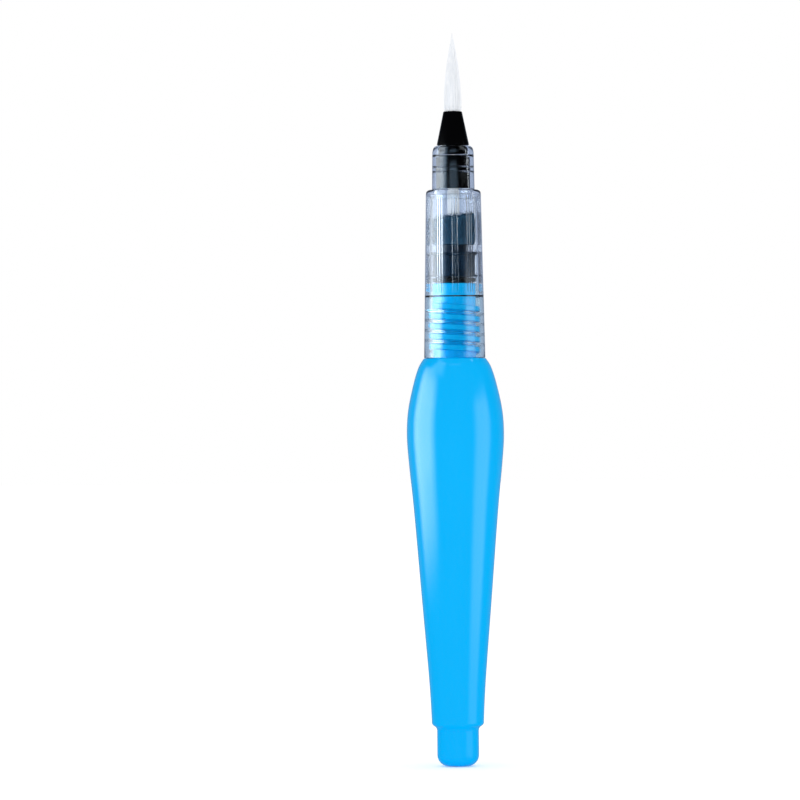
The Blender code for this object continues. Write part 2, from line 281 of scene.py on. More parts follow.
def new_piece(shape, name, material, nodes, body=None, sharp=35):
    """Makes a bmesh a finished piece, with its finish, body and the nodes it stands for."""
    mesh = bpy.data.meshes.new(name)
    shape.to_mesh(mesh)
    shape.free()
    mesh.shade_smooth()
    mesh.set_sharp_from_angle(angle=math.radians(sharp))
    mesh.materials.clear()
    mesh.materials.append(material)
    piece = bpy.data.objects.new(name, mesh)
    bpy.context.scene.collection.objects.link(piece)
    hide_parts(*nodes)
    if body is not None:
        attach(piece, body)
    return piece


# Finishes


def finish_nodes(name):
    """A new material, with its node tree and its shader."""
    made = bpy.data.materials.new(name)
    made.use_nodes = True
    return made, made.node_tree, made.node_tree.nodes["Principled BSDF"]


def add_node(tree, kind, sockets, **settings):
    """Adds a node with its settings, and its sockets set to values or linked to other nodes."""
    made = tree.nodes.new(kind)
    for name, value in settings.items():
        setattr(made, name, value)
    for name, value in sockets.items():
        if isinstance(value, bpy.types.NodeSocket):
            tree.links.new(value, made.inputs[name])
        else:
            made.inputs[name].default_value = value
    return made


def grain(tree, cells_per_mm, detail=2.0, roughness=0.5):
    """Noise on the piece's own coordinates, with so many cells a millimetre along x, y and z."""
    place = add_node(tree, "ShaderNodeTexCoord", {})
    scale = tuple(cells / MM for cells in cells_per_mm)
    stretched = add_node(
        tree, "ShaderNodeMapping", {"Vector": place.outputs["Object"], "Scale": scale}
    )
    made = add_node(
        tree,
        "ShaderNodeTexNoise",
        {
            "Vector": stretched.outputs["Vector"],
            "Scale": 1.0,
            "Detail": detail,
            "Roughness": roughness,
        },
    )
    return made.outputs["Fac"]


def remap(tree, value, low, high, start=0.3, end=0.7):
    """A value between start and end, brought between low and high."""
    made = add_node(
        tree,
        "ShaderNodeMapRange",
        {"Value": value, "From Min": start, "From Max": end, "To Min": low, "To Max": high},
    )
    return made.outputs["Result"]


def shaded(tree, factor, dark, light):
    """A colour that runs from dark to light with the factor."""
    made = add_node(tree, "ShaderNodeMix", {"Factor": factor}, data_type="RGBA")
    for socket in made.inputs:
        if socket.type == "RGBA":
            socket.default_value = (*dark, 1) if socket.name == "A" else (*light, 1)
    return next(socket for socket in made.outputs if socket.type == "RGBA")


def bump(tree, shader, height, distance, strength=1.0):
    """Raises the shader's surface by a height value, over a distance in millimetres."""
    made = add_node(
        tree,
        "ShaderNodeBump",
        {"Height": height, "Distance": distance * MM, "Strength": strength},
    )
    tree.links.new(made.outputs["Normal"], shader.inputs["Normal"])


def tint(colour, factor):
    """A colour made darker or lighter by a factor."""
    return tuple(min(1.0, channel * factor) for channel in colour)


def moulded_plastic(name, colour, roughness, variation=0.04, cells=2.5, relief=0.004, level=0.5):
    """A moulded plastic: faint cloudiness in its colour, uneven gloss and a fine skin grain.

    Variation is a share of the colour, cells are the grain's a millimetre, relief is in millimetres
    and level is how much of the light it mirrors.
    """
    made, tree, shader = finish_nodes(name)
    cloud = grain(tree, (0.12, 0.12, 0.06), 3.0)
    dark, light = tint(colour, 1 - variation), tint(colour, 1 + variation)
    tree.links.new(shaded(tree, remap(tree, cloud, 0.0, 1.0), dark, light), shader.inputs["Base Color"])
    skin = grain(tree, (cells, cells, cells), 3.0)
    gloss = remap(tree, skin, roughness * 0.9, roughness * 1.1)
    tree.links.new(gloss, shader.inputs["Roughness"])
    bump(tree, shader, skin, relief)
    shader.inputs["Specular IOR Level"].default_value = level
    return made


def clear_plastic(name, colour, painted_neck_reflection, roughness):
    """A clear moulding, see-through, with slow waves in its skin, and a painted reflection of the neck's
    blue in its colour near the neck.
    """
    made, tree, shader = finish_nodes(name)
    place = add_node(tree, "ShaderNodeTexCoord", {})
    axes = add_node(tree, "ShaderNodeSeparateXYZ", {"Vector": place.outputs["Object"]})
    # Painted reflection: the colour runs from the neck's blue tint at the neck's top up to the clear
    # tint, for the blue light the barrel throws into the plastic.
    low, high = ((NECK_TOP + off) * MM for off in PAINTED_NECK_REFLECTION_SPAN)
    painted_reflection_fade = remap(tree, axes.outputs["Z"], 0.0, 1.0, low, high)
    tree.links.new(shaded(tree, painted_reflection_fade, painted_neck_reflection, colour), shader.inputs["Base Color"])
    shader.inputs["Roughness"].default_value = roughness
    shader.inputs["IOR"].default_value = 1.55
    shader.inputs["Transmission Weight"].default_value = 1.0
    bump(tree, shader, grain(tree, (0.6, 0.6, 0.12), 2.0), 0.006)
    return made


def filament_nylon(name, shade, colour):
    """Pale nylon filaments, with fine streaks along them."""
    made, tree, shader = finish_nodes(name)
    streaks = grain(tree, (5.5, 5.5, 0.12), 3.0, 0.7)
    streaked = shaded(tree, remap(tree, streaks, 0.0, 1.0), shade, colour)
    tree.links.new(streaked, shader.inputs["Base Color"])
    shader.inputs["Roughness"].default_value = 0.42
    shader.inputs["Specular IOR Level"].default_value = 0.3
    return made


def bonded_fibre(name, shade, colour, cells, relief):
    """A bonded fibre rod or sponge: matted, matt and mottled."""
    made, tree, shader = finish_nodes(name)
    mat = grain(tree, cells, 6.0, 0.7)
    tree.links.new(shaded(tree, remap(tree, mat, 0.0, 1.0), shade, colour), shader.inputs["Base Color"])
    tree.links.new(remap(tree, mat, 0.8, 1.0), shader.inputs["Roughness"])
    bump(tree, shader, mat, relief)
    shader.inputs["Specular IOR Level"].default_value = 0.2
    return made


# What a user would change


class BarrelSettings(bpy.types.PropertyGroup):
    colour: bpy.props.FloatVectorProperty(
        name="Barrel colour",
        description="Colour of the blown barrel's plastic",
        subtype="COLOR",
        min=0,
        max=1,
        default=(0.0, 0.47, 0.99),
    )
    roughness: bpy.props.FloatProperty(
        name="Barrel roughness",
        description="How soft the barrel's highlights are",
        subtype="FACTOR",
        min=0,
        max=1,
        default=0.12,
    )
    wall: bpy.props.FloatProperty(
        name="Wall",
        description="Thickness of the barrel's wall",
        subtype="DISTANCE",
        unit="LENGTH",
        default=1.0 * MM,
    )


class HolderSettings(bpy.types.PropertyGroup):
    colour: bpy.props.FloatVectorProperty(
        name="Holder tint",
        description="Tint of the clear holder",
        subtype="COLOR",
        min=0,
        max=1,
        default=(0.95, 0.97, 0.99),
    )
    # Painted reflection: the blue that the barrel's neck throws into the clear holder, painted into the
    # holder's colour round the neck.
    painted_neck_reflection: bpy.props.FloatVectorProperty(
        name="Tint at the neck",
        description="Tint of the clear holder round the barrel's neck",
        subtype="COLOR",
        min=0,
        max=1,
        default=(0.88, 1.0, 1.0),
    )
    roughness: bpy.props.FloatProperty(
        name="Holder roughness",
        description="Haze of the clear holder's surface",
        subtype="FACTOR",
        min=0,
        max=1,
        default=0.08,
    )
    rib_clusters: bpy.props.IntProperty(
        name="Rib clusters",
        description="Number of clusters of three ribs inside the holder",
        default=10,
    )
    rib_height: bpy.props.FloatProperty(
        name="Rib height",
        description="How far each rib stands out of the bore",
        subtype="DISTANCE",
        unit="LENGTH",
        default=0.12 * MM,
    )


class BrushSettings(bpy.types.PropertyGroup):
    filament: bpy.props.FloatProperty(
        name="Filament",
        description="Thickness of one nylon filament",
        subtype="DISTANCE",
        unit="LENGTH",
        default=0.13 * MM,
    )
    tuft_filaments: bpy.props.IntProperty(
        name="Tuft filaments",
        description="Number of filaments modelled in the tuft",
        default=620,
    )
    colour: bpy.props.FloatVectorProperty(
        name="Filament colour",
        description="Colour of the nylon filaments",
        subtype="COLOR",
        min=0,
        max=1,
        default=(0.96, 0.97, 0.985),
    )
    ferrule_colour: bpy.props.FloatVectorProperty(
        name="Ferrule colour",
        description="Colour of the ferrule's plastic",
        subtype="COLOR",
        min=0,
        max=1,
        default=(0.0015, 0.0015, 0.002),
    )


class FeedSettings(bpy.types.PropertyGroup):
    sponge_colour: bpy.props.FloatVectorProperty(
        name="Sponge colour",
        description="Colour of the fibre sponge",
        subtype="COLOR",
        min=0,
        max=1,
        default=(0.018, 0.065, 0.12),
    )
    plug_colour: bpy.props.FloatVectorProperty(
        name="Plug colour",
        description="Colour of the plug's plastic",
        subtype="COLOR",
        min=0,
        max=1,
        default=(0.004, 0.02, 0.045),
    )
    fibres: bpy.props.IntProperty(
        name="Sponge fibres",
        description="Number of loose fibres on the sponge",
        default=420,
    )


class StageSettings(bpy.types.PropertyGroup):
    lens: bpy.props.FloatProperty(
        name="Lens",
        description="Focal length of the camera",
        unit="CAMERA",
        default=200,
    )
    field: bpy.props.FloatProperty(
        name="Field",
        description="Width of what the camera sees at the pen",
        subtype="DISTANCE",
        unit="LENGTH",
        default=158.2 * MM,
    )
    roll: bpy.props.FloatProperty(
        name="Roll",
        description="How far the camera is rolled",
        subtype="ANGLE",
        default=math.radians(-0.5),
    )
    key: bpy.props.FloatProperty(
        name="Left panel",
        description="Brightness of the panel on the left, against the white surroundings",
        default=4.4,
    )
    fill: bpy.props.FloatProperty(
        name="Right panel",
        description="Brightness of the panel on the right, against the white surroundings",
        default=1.4,
    )
    backdrop: bpy.props.FloatVectorProperty(
        name="Backdrop",
        description="Colour that shows through the clear plastic",
        subtype="COLOR",
        min=0,
        max=1,
        default=(0.40, 0.48, 0.65),
    )


# The pieces


class BRUSHPEN_OT_barrel(bpy.types.Operator):
    """The blown barrel: tail stub, swelling grip, shoulder and threaded neck."""

    bl_idname = "brushpen.barrel"
    bl_label = "Barrel"
    bl_options = {"REGISTER", "UNDO"}

    tail_r = 4.12
    tail_top = 7.8
    tail_rounding = 2.2
    heel_rounding = 0.95
    heel_fillet = 0.55
    heel_slant = 0.7  # share of its rounding that the heel's last corner lies out and down
    shoulder_r = 6.15
    grip_stations = (  # (radius as a share of the grip's, height), heel to shoulder
        (0.536, 8.9),
        (0.583, 17.0),
        (0.719, 33.0),
        (0.865, 50.3),
        (0.9635, 60.0),
        (1.0, 65.5),
        (0.969, 70.4),
        (0.854, 75.6),
        (0.75, 78.8),
    )
    throat_base = SHOULDER_TOP - 1.2
    cavity_top = (6.9, 76.1)
    tail_floor = 1.2
    thread_crest_r = 5.08
    thread_turns = 4.75

    def skin(self, wall):
        """The bottle's outline, up its outside and down its inside."""
        stations = [(share * GRIP_R, z) for share, z in self.grip_stations]
        bend = self.tail_rounding
        outline = [(0, TAIL_END), *arc((self.tail_r - bend, bend), bend, -90, 0, 12)]
        heel = (self.tail_r + 0.1, self.tail_top + self.heel_rounding)
        slant = self.heel_slant * self.heel_rounding
        corners = [
            (self.tail_r, bend, 0),
            (self.tail_r, self.tail_top - 0.25, self.heel_fillet),
            (heel[0] + slant, heel[1] - slant, 0),
        ]
        outline += rounded(corners)[1:-1]
        outline += arc(heel, self.heel_rounding, -50, -8)
        outline += smooth([*stations, (self.shoulder_r + 0.12, SHOULDER_TOP - 0.2)])
        outline += [(self.shoulder_r, SHOULDER_TOP - 0.06), (self.shoulder_r - 0.12, SHOULDER_TOP)]
        neck = rounded(
            [
                (self.shoulder_r, SHOULDER_TOP, 0),
                (NECK_R, SHOULDER_TOP, 0.25),
                (NECK_R, NECK_TOP, 0.3),
                (NECK_BORE_R, NECK_TOP, 0.12),
                (NECK_BORE_R, self.throat_base, 0),
            ]
        )
        outline += neck[1:]
        cavity = [self.cavity_top, *((r - wall, z) for r, z in reversed(stations[:-2]))]
        outline += smooth(cavity, 4)
        stub_r = self.tail_r - wall
        outline += rounded(
            [
                (stub_r, 9, 0),
                (stub_r, self.tail_top, 0),
                (stub_r, self.tail_floor, 0.8),
                (0, self.tail_floor, 0),
            ]
        )[1:]
        return outline

    def execute(self, context):
        settings = context.scene.pen_barrel
        bottle = turned(self.skin(settings.wall / MM), 160)
        section = ridge_section(NECK_R - THREAD_SINK, self.thread_crest_r, 1.3, 0.95, 0.16)
        ridge = thread_ridge(section, THREAD_START, self.thread_turns, 96, 0.12)
        blue = moulded_plastic("blown_blue", settings.colour, settings.roughness, 0.012, 1.6, 0.003, 0.6)
        new_piece(
            united(bottle, ridge), "barrel_bottle", blue, ["barrel"], "barrel"
        )
        return {"FINISHED"}


class BRUSHPEN_OT_holder(bpy.types.Operator):
    """The clear holder that screws onto the neck: ribbed tube, square front step and nozzle."""

    bl_idname = "brushpen.holder"
    bl_label = "Clear holder"
    bl_options = {"REGISTER", "UNDO"}

    reach = 0.25  # how far the base comes down into the gap over the shoulder
    step_top = 113.9
    top_r = 5.42
    nozzle_base_r = 4.2
    nozzle_top_r = 4.08
    nozzle_ease = 1.1  # height over which the nozzle's front edge rounds in
    nozzle_bore_r = 3.6
    nozzle_bore_top = 120.6
    mouth_r = 3.25
    collar_r = 4.1
    collar_base = 111.9
    bore_top = 112.9
    bore_top_r = 4.75
    bore_base_r = 4.95
    thread_bore_r = 5.3
    thread_bore_top = 92.7
    bore_step = 0.3  # height over which the bore widens to the thread's
    rib_base = 93.6
    groove_heights = (118.35, 117.4)  # two fine grooves round the nozzle's bore, over the sleeve's bead
    groove_width = 0.34
    groove_depth = 0.14
    rib_top = 112.5
    rib_end = 0.25  # length over which a rib rises out of the bore
    rib_width = 3.4  # degrees
    rib_spacing = 6.1  # degrees
    first_cluster = -88.5  # degrees
    ridge_crest_r = 4.6
    ridge_turns = 4.0
    steps = 480

    def bore(self, height):
        """The tapered bore's radius at a height."""
        share = (height - self.thread_bore_top) / (self.bore_top - self.thread_bore_top)
        return self.bore_base_r + (self.bore_top_r - self.bore_base_r) * share

    def skin(self):
        """The holder's outline, up its outside, down through the nozzle and the bore."""
        corners = [
            (HOLDER_BASE_R, HOLDER_BASE - self.reach, 0.15),
            (self.top_r, self.step_top, 0.9),
            (self.nozzle_base_r, self.step_top, 0.2),
            (self.nozzle_top_r, NOZZLE_TOP - self.nozzle_ease, 0.45),
            (self.nozzle_top_r - 0.25, NOZZLE_TOP - 0.3, 0.35),
            (self.mouth_r + 0.1, NOZZLE_TOP, 0.1),
            (self.mouth_r, NOZZLE_TOP - 0.1, 0.05),
            (self.mouth_r, self.nozzle_bore_top + 0.2, 0.05),
            (self.nozzle_bore_r, self.nozzle_bore_top - 0.2, 0.05),
        ]
        for height in self.groove_heights:
            half, depth = self.groove_width / 2, self.groove_depth
            corners += [
                (self.nozzle_bore_r, height + half, 0.03),
                (self.nozzle_bore_r + depth, height, 0.03),
                (self.nozzle_bore_r, height - half, 0.03),
            ]
        corners += [
            (self.nozzle_bore_r, self.collar_base, 0.12),
            (self.collar_r, self.collar_base, 0.12),
            (self.collar_r, self.bore_top, 0),
            (self.bore(self.bore_top), self.bore_top, 0.1),
        ]
        top, base, end = self.rib_top, self.rib_base, self.rib_end
        for height in (top, top - end, base + end, base):
            corners.append((self.bore(height), height, 0))
        corners += [
            (self.bore_base_r, self.thread_bore_top + self.bore_step, 0.05),
            (self.thread_bore_r, self.thread_bore_top, 0.05),
            (self.thread_bore_r, HOLDER_BASE - self.reach, 0.15),
        ]
        return rounded(corners, 5)

    def raise_ribs(self, shape, clusters, height):
        """Moves the bore in at the ribs, which stand in clusters of three."""
        low = self.rib_base + self.rib_end / 2
        high = self.rib_top - self.rib_end / 2
        for vert in shape.verts:
            radius = math.hypot(vert.co.x, vert.co.y) / MM
            z = vert.co.z / MM
            if not low < z < high or radius > self.bore_base_r + FIT or radius < self.collar_r + FIT:
                continue
            apart = 360 / clusters
            turn = math.degrees(math.atan2(vert.co.y, vert.co.x)) - self.first_cluster
            turn = (turn + apart / 2) % apart - apart / 2
            off = min(abs(turn - self.rib_spacing * rib) for rib in (-1, 0, 1))
            crest = (1 + math.cos(math.pi * min(1.0, 2 * off / self.rib_width))) / 2
            factor = (radius - height * crest) / radius
            vert.co.x *= factor
            vert.co.y *= factor

    def execute(self, context):
        settings = context.scene.pen_holder
        tube = turned(self.skin(), self.steps)
        self.raise_ribs(tube, settings.rib_clusters, settings.rib_height / MM)
        section = ridge_section(self.thread_bore_r + THREAD_SINK, self.ridge_crest_r, 0.5, 0.3, 0.1)
        ridge = thread_ridge(section, THREAD_START - PITCH / 2, self.ridge_turns, 72, 0.1)
        clear = clear_plastic("clear_styrene", settings.colour, settings.painted_neck_reflection, settings.roughness)
        new_piece(
            united(tube, ridge), "holder_clear_tube", clear, ["front_holder"], "head"
        )
        return {"FINISHED"}


class BRUSHPEN_OT_ferrule(bpy.types.Operator):
    """The black ferrule's cone, with the sleeve and snap bead that hold it in the nozzle."""

    bl_idname = "brushpen.ferrule"
    bl_label = "Ferrule"
    bl_options = {"REGISTER", "UNDO"}

    cone_base = NOZZLE_TOP + FIT / 2
    cone_base_r = 3.2
    cone_top_r = 1.83
    mouth_r = 1.5
    sleeve_r = 3.35
    sleeve_bore_r = 2.4
    bead_base = 117.35
    bead_top = 118.05
    bead_slope = 0.15

    def execute(self, context):
        settings = context.scene.pen_brush
        sleeve_top = BRUSHPEN_OT_holder.nozzle_bore_top - FIT
        neck_r = BRUSHPEN_OT_holder.mouth_r - FIT
        outline = rounded(
            [
                (self.sleeve_bore_r, SLEEVE_BASE, 0.1),
                (self.sleeve_r, SLEEVE_BASE, 0.12),
                (self.sleeve_r, self.bead_base - self.bead_slope, 0),
                (SLEEVE_BEAD_R, self.bead_base, 0.05),
                (SLEEVE_BEAD_R, self.bead_top, 0.05),
                (self.sleeve_r, self.bead_top + self.bead_slope, 0),
                (self.sleeve_r, sleeve_top, 0.1),
                (neck_r, sleeve_top, 0.05),
                (neck_r, self.cone_base, 0),
                (self.cone_base_r, self.cone_base, 0.12),
                (self.cone_top_r, CONE_TOP, 0.16),
                (self.mouth_r, CONE_TOP, 0.1),
                (self.mouth_r, CONE_TOP - 1.4, 0.2),
                (self.sleeve_bore_r, self.cone_base + 0.6, 0.2),
            ]
        )
        black = moulded_plastic("black_moulding", settings.ferrule_colour, 0.2, 0.3, 3.0, 0.002, 0.05)
        new_piece(turned(outline, 96), "ferrule_cone", black, ["ferrule"], "head")
        return {"FINISHED"}


class BRUSHPEN_OT_bristles(bpy.types.Operator):
    """The nylon filaments: the straight stem in the ferrule, its band, and the pointed tuft."""

    bl_idname = "brushpen.bristles"
    bl_label = "Bristles"
    bl_options = {"REGISTER", "UNDO"}

    belly_r = 1.84
    flare_top = 130.2
    taper = 1.9
    mouth_r = 1.45  # how far out the filaments stand in the ferrule's mouth
    core = 0.86  # share of the radius that the solid core under the filaments fills
    tuft_inset = 0.2  # how far the filaments' roots stand over the node's base
    point = 0.1  # how far the longest filament ends short of the node's tip
    core_levels = 24
    strand_steps = 8
    stem_filaments = 170
    streak_shade = (0.86, 0.89, 0.93)  # the streaks' colour as shares of the filaments'
    bend_reach = (-0.6, 5)  # heights from the pivot over which a bend of the tuft would spread, in millimetres

    def outline_r(self, height):
        """The tuft's radius at a height: out from the ferrule's mouth, then in to the point."""
        reach = max(0.0, (height - CONE_TOP) / (TUFT_TIP - CONE_TOP))
        belly = self.belly_r * (1 - min(1.0, reach) ** self.taper)
        out = min(1.0, max(0.0, (height - CONE_TOP) / (self.flare_top - CONE_TOP)))
        return min(belly, self.mouth_r + (belly - self.mouth_r) * math.sin(out * math.pi / 2))

    def tuft_strand(self, draw, share, thickness):
        """One filament: share is how far out it stands, and the outer ones end lower down."""
        turn = draw.uniform(0, FULL_TURN)
        swirl = draw.gauss(0, 0.10)
        length = 1 - draw.random() ** 2.2 * (0.1 + 0.5 * share)
        root = TUFT_BASE + self.tuft_inset
        end = root + (TUFT_TIP - self.point - root) * length
        strand = []
        for step in range(self.strand_steps + 1):
            t = step / self.strand_steps
            height = root + (end - root) * t
            room = max(0.0, self.outline_r(height) - thickness / 2)
            radius = room * share
            angle = turn + swirl * t
            width = 1.0 if t < 0.6 else 1 - 0.75 * (t - 0.6) / 0.4
            place = (radius * math.cos(angle), radius * math.sin(angle), height)
            strand.append((place, width))
        return strand

    def build_tuft(self, settings, material):
        draw = random.Random(7)
        thickness = settings.filament / MM
        outline = [(0, TUFT_BASE + 0.25)]
        for level in range(self.core_levels):
            height = TUFT_BASE + 0.25 + (TUFT_TIP - 0.5 - TUFT_BASE) * level / self.core_levels
            outline.append((self.core * self.outline_r(height), height))
        outline.append((0, TUFT_TIP - 0.15))
        shape = turned(outline, 32)
        strands = []
        for index in range(settings.tuft_filaments):
            share = math.sqrt(0.62 + 0.38 * (index + 0.5) / settings.tuft_filaments)
            strands.append(self.tuft_strand(draw, share, thickness))
        add_mesh(shape, strand_mesh(strands, thickness))
        tuft = new_piece(shape, "tuft_filaments", material, ["bristle_tuft"], sharp=70)
        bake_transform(tuft)

    def build_stem(self, settings, material):
        draw = random.Random(11)
        thickness = settings.filament / MM
        room = STEM_R - thickness / 2
        base, top, core_r = STEM_BASE + 0.1, STEM_TOP - 0.1, room * self.core
        shape = turned([(0, base), (core_r, base), (core_r, top), (0, top)], 32)
        strands = []
        for index in range(self.stem_filaments):
            share = math.sqrt(0.6 + 0.4 * (index + 0.5) / self.stem_filaments)
            turn = draw.uniform(0, FULL_TURN)
            drift = draw.gauss(0, 0.12)
            low = STEM_BASE + draw.uniform(0, 0.15)
            high = STEM_TOP - draw.uniform(0, 0.15)
            strand = []
            for t in (0, 0.33, 0.67, 1):
                angle = turn + drift * t
                x, y = room * share * math.cos(angle), room * share * math.sin(angle)
                strand.append(((x, y, low + (high - low) * t), 1.0))
            strands.append(strand)
        add_mesh(shape, strand_mesh(strands, thickness))
        new_piece(shape, "stem_filaments", material, ["bristle_stem"], "head", sharp=70)

    def build_band(self):
        bore_r = STEM_R + FIT
        outline = rounded(
            [
                (bore_r, BAND_BASE, 0.06),
                (BAND_R, BAND_BASE, 0.15),
                (BAND_R, BAND_TOP, 0.25),
                (bore_r, BAND_TOP, 0.06),
            ]
        )
        grey = moulded_plastic("grey_moulding", (0.62, 0.64, 0.66), 0.35)
        new_piece(turned(outline, 64), "stem_band", grey, ["tuft_band"], "head")

    def execute(self, context):
        settings = context.scene.pen_brush
        colour = tuple(settings.colour)
        shade = tuple(channel * share for channel, share in zip(colour, self.streak_shade))
        nylon = filament_nylon("white_nylon", shade, colour)
        self.build_stem(settings, nylon)
        self.build_band()
        self.build_tuft(settings, nylon)
        return {"FINISHED"}


class BRUSHPEN_OT_feed(bpy.types.Operator):
    """What feeds the bristles: the fibre sponge, the black plug and its wick, and the neck's gasket."""

    bl_idname = "brushpen.feed"
    bl_label = "Feed"
    bl_options = {"REGISTER", "UNDO"}

    hub_r = 2.7
    flange_r = PLUG_R + 0.2
    flange_top = 101.5
    flange_base = 101.15
    body_r = 4.15
    rim_top = 97.05
    rim_base = 96.7
    spigot_r = 2.95
    hole_r = 0.95
    felt_relief = 0.09
    cut_depth = 1.2  # how far down the sponge's cut top is pulled about
    cut_slant = 0.6  # how far the cut top rises towards +X and falls towards -X
    cut_ragged = 0.45
    fibre_thickness = 0.12

    def build_sponge(self, settings):
        """A felted plug whose cut top frays into loose fibres."""
        side_r = SPONGE_R - 0.05
        outline = rounded(
            [
                (0, SPONGE_BASE, 0),
                (side_r, SPONGE_BASE, 0.3),
                (side_r, SPONGE_TOP, 0.12),
                (0, SPONGE_TOP, 0),
            ]
        )
        shape = turned(outline, 72)
        for _ in range(3):
            long_edges = [edge for edge in shape.edges if edge.calc_length() > 0.45 * MM]
            bmesh.ops.subdivide_edges(shape, edges=long_edges, cuts=1, use_grid_fill=True)
        bmesh.ops.recalc_face_normals(shape, faces=shape.faces)
        shape.normal_update()
        for vert in shape.verts:
            clump = noise.fractal(vert.co / MM * 2.2, 0.7, 2.1, 4)
            vert.co += vert.normal * (self.felt_relief * clump - 0.05) * MM
            near_top = max(0.0, 1 - (SPONGE_TOP - vert.co.z / MM) / self.cut_depth)
            slant = self.cut_slant * vert.co.x / MM / SPONGE_R
            ragged = self.cut_ragged * noise.noise(vert.co / MM * 2.3) - 0.15
            vert.co.z += near_top * (slant + ragged) * MM
        draw = random.Random(23)
        strands = []
        for index in range(settings.fibres):
            on_top = index % 3 == 0
            turn = draw.uniform(0, FULL_TURN)
            if on_top:
                radius = SPONGE_R * math.sqrt(draw.uniform(0.05, 0.92))
                low = SPONGE_TOP - 0.4 + self.cut_slant * math.cos(turn) * radius / SPONGE_R
                rise = draw.uniform(0.4, 0.95)
                lean = draw.gauss(0, 0.12)
                twist = draw.gauss(0, 0.35)
                if radius < STEM_R + FIT:
                    continue
            else:
                radius = SPONGE_R - 0.06
                low = draw.uniform(SPONGE_BASE + 0.3, SPONGE_TOP - 1.2)
                rise = draw.uniform(0.5, 1.1)
                lean = 0
                twist = draw.gauss(0, 0.25)
            strand = []
            for t in (0, 0.35, 0.7, 1):
                out = radius + lean * t * t
                out += 0 if on_top else 0.1 * math.sin(math.pi * t)
                angle = turn + twist * t * t
                place = (out * math.cos(angle), out * math.sin(angle), low + rise * t)
                strand.append((place, 1 - 0.5 * t))
            strands.append(strand)
        add_mesh(shape, strand_mesh(strands, self.fibre_thickness))
        colour = tuple(settings.sponge_colour)
        shade, light = tint(colour, 0.55), tint(colour, 1.5)
        felt = bonded_fibre("felted_sponge", shade, light, (2.5, 2.5, 1.6), 0.05)
        new_piece(shape, "sponge_felt", felt, ["flow_sponge"], "head", sharp=60)

    def build_plug(self, settings):
        outline = rounded(
            [
                (self.hole_r, PLUG_BASE, 0.08),
                (self.spigot_r - 0.4, PLUG_BASE, 0.1),
                (self.spigot_r, PLUG_BASE + 0.8, 0.2),
                (self.spigot_r, self.rim_base, 0.05),
                (self.flange_r, self.rim_base, 0.06),
                (self.flange_r, self.rim_top, 0.1),
                (self.body_r, self.rim_top, 0.1),
                (self.body_r, self.flange_base - 0.3, 0.05),
                (self.flange_r, self.flange_base, 0.05),
                (self.flange_r, self.flange_top, 0.1),
                (self.hub_r, self.flange_top, 0.08),
                (self.hub_r, SPONGE_BASE, 0),
                (self.hole_r, SPONGE_BASE, 0),
            ]
        )
        black = moulded_plastic("plug_black", tuple(settings.plug_colour), 0.38, 0.3, 2.0, 0.003, 0.15)
        new_piece(turned(outline, 96), "plug_moulding", black, ["regulator_plug"], "head")

    def build_gasket(self):
        bore_r = self.spigot_r + FIT
        outline = rounded(
            [
                (bore_r, GASKET_BASE, 0.12),
                (GASKET_R, GASKET_BASE, 0.2),
                (GASKET_R, GASKET_TOP, 0.2),
                (bore_r, GASKET_TOP, 0.12),
            ]
        )
        rubber = moulded_plastic("gasket_rubber", (0.012, 0.014, 0.018), 0.65, 0.2, 4.0, 0.006, 0.3)
        new_piece(turned(outline, 96), "gasket_ring", rubber, ["neck_gasket"], "seal")

    def build_wick(self):
        outline = rounded(
            [(0, WICK_BASE, 0), (WICK_R, WICK_BASE, 0.2), (WICK_R, WICK_TOP, 0.15), (0, WICK_TOP, 0)]
        )
        shape = turned(outline, 40)
        long_edges = [edge for edge in shape.edges if edge.calc_length() > 2 * MM]
        bmesh.ops.subdivide_edges(shape, edges=long_edges, cuts=40, use_grid_fill=True)
        shape.normal_update()
        for vert in shape.verts:
            groove = noise.noise(Vector((vert.co.x, vert.co.y, vert.co.z * 0.1)) / MM * 6)
            vert.co += vert.normal * (0.03 * groove - 0.02) * MM
        pale = bonded_fibre("bonded_wick", (0.62, 0.62, 0.58), (0.88, 0.88, 0.84), (6, 6, 0.6), 0.02)
        new_piece(shape, "wick_rod", pale, ["feed_wick"], "head", sharp=60)

    def execute(self, context):
        settings = context.scene.pen_feed
        self.build_sponge(settings)
        self.build_plug(settings)
        self.build_gasket()
        self.build_wick()
        return {"FINISHED"}


